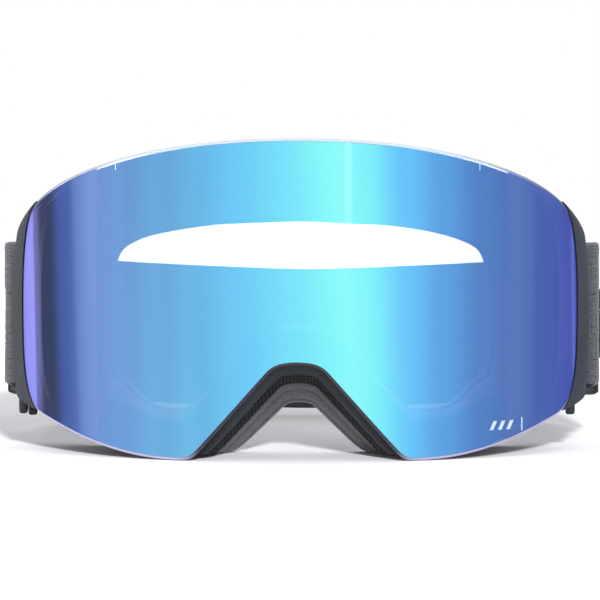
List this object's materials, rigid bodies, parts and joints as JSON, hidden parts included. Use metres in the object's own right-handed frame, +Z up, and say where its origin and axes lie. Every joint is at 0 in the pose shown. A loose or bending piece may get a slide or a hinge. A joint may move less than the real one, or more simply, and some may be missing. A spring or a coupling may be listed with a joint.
{
  "type": "ski goggles",
  "caption": "Frameless mirrored ski goggles with a magnetic double lens, side wings, layered face foam and an adjustable elastic strap on hinged outriggers.",
  "frame": {"origin": "bottom centre of the bounding box, on the floor under the middle of the strap loop", "axes": "+Z up, -Y out through the front of the lens, +Y towards the back of the strap, +X to the right as seen from the front"},
  "size_m": [0.1902, 0.2044, 0.1022],
  "materials": {
    "mirror_lens": "blue mirror coating on clear polycarbonate, gloss",
    "clear_lens": "clear anti-fog sheet, gloss",
    "gasket_foam": "closed-cell foam, matt",
    "carrier_plastic": "moulded, satin",
    "magnet_nickel": "nickel plated",
    "frame_plastic": "soft-touch moulded plastic, satin slate grey",
    "vent_foam": "open-cell foam, matt",
    "firm_foam": "firm face foam, matt",
    "soft_foam": "soft face foam, matt",
    "fleece": "brushed fleece",
    "pin_steel": "ground steel",
    "strap_webbing": "heather grey woven elastic",
    "grip_silicone": "printed silicone, satin",
    "badge_rubber": "ribbed rubber, satin",
    "adjuster_plastic": "moulded acetal, satin"
  },
  "bodies": {
    "goggle_frame": {"main_frame": "frame_plastic", "brow_vent_foam": "vent_foam", "cheek_vent_foam_right": "vent_foam", "cheek_vent_foam_left": "vent_foam", "face_foam_base": "firm_foam", "face_foam_middle": "soft_foam", "face_fleece": "fleece", "frame_magnet_1": "magnet_nickel", "frame_magnet_2": "magnet_nickel", "frame_magnet_3": "magnet_nickel", "frame_magnet_4": "magnet_nickel", "frame_magnet_5": "magnet_nickel", "frame_magnet_6": "magnet_nickel", "frame_magnet_7": "magnet_nickel", "frame_magnet_8": "magnet_nickel", "outrigger_pin_right": "pin_steel", "outrigger_pin_left": "pin_steel", "strap_rear": "strap_webbing", "grip_bead_1": "grip_silicone", "grip_bead_2": "grip_silicone", "grip_bead_3": "grip_silicone", "lever_pin": "pin_steel"},
    "lens_assembly": {"outer_lens": "mirror_lens", "lens_gasket": "gasket_foam", "inner_lens": "clear_lens", "lens_carrier": "carrier_plastic", "lens_magnet_1": "magnet_nickel", "lens_magnet_2": "magnet_nickel", "lens_magnet_3": "magnet_nickel", "lens_magnet_4": "magnet_nickel", "lens_magnet_5": "magnet_nickel", "lens_magnet_6": "magnet_nickel", "lens_magnet_7": "magnet_nickel", "lens_magnet_8": "magnet_nickel"},
    "right_outrigger": {"outrigger_right": "frame_plastic", "strap_side_right": "strap_webbing", "strap_badge": "badge_rubber"},
    "left_outrigger": {"outrigger_left": "frame_plastic", "strap_side_left": "strap_webbing"},
    "right_adjuster": {"strap_adjuster_right": "adjuster_plastic", "strap_tail_right": "strap_webbing"},
    "left_adjuster": {"strap_adjuster_left": "adjuster_plastic", "strap_tail_left": "strap_webbing"},
    "release_lever": {"lens_release_lever": "adjuster_plastic"}
  },
  "joints": [
    {"name": "lens_pull_off", "type": "slide", "parent": "goggle_frame", "child": "lens_assembly", "axis": [0, -1, 0], "range_m": [0, 0.05]},
    {"name": "right_outrigger_hinge", "type": "hinge", "parent": "goggle_frame", "child": "right_outrigger", "pos_m": [0.0882, -0.02615, 0.0408], "axis": [0, 0, -1], "range_deg": [-8, 15]},
    {"name": "left_outrigger_hinge", "type": "hinge", "parent": "goggle_frame", "child": "left_outrigger", "pos_m": [-0.0882, -0.02615, 0.0408], "axis": [0, 0, 1], "range_deg": [-8, 15]},
    {"name": "right_adjuster_slide", "type": "slide", "parent": "right_outrigger", "child": "right_adjuster", "axis": [-0.0968, 0.9875, -0.124], "range_m": [-0.0045, 0.014]},
    {"name": "left_adjuster_slide", "type": "slide", "parent": "left_outrigger", "child": "left_adjuster", "axis": [0.0968, 0.9875, -0.124], "range_m": [-0.0045, 0.014]},
    {"name": "release_lever_hinge", "type": "hinge", "parent": "goggle_frame", "child": "release_lever", "pos_m": [-0.0849, -0.03615, 0.0152], "axis": [1, 0, 0], "range_deg": [0, 18]}
  ]
}
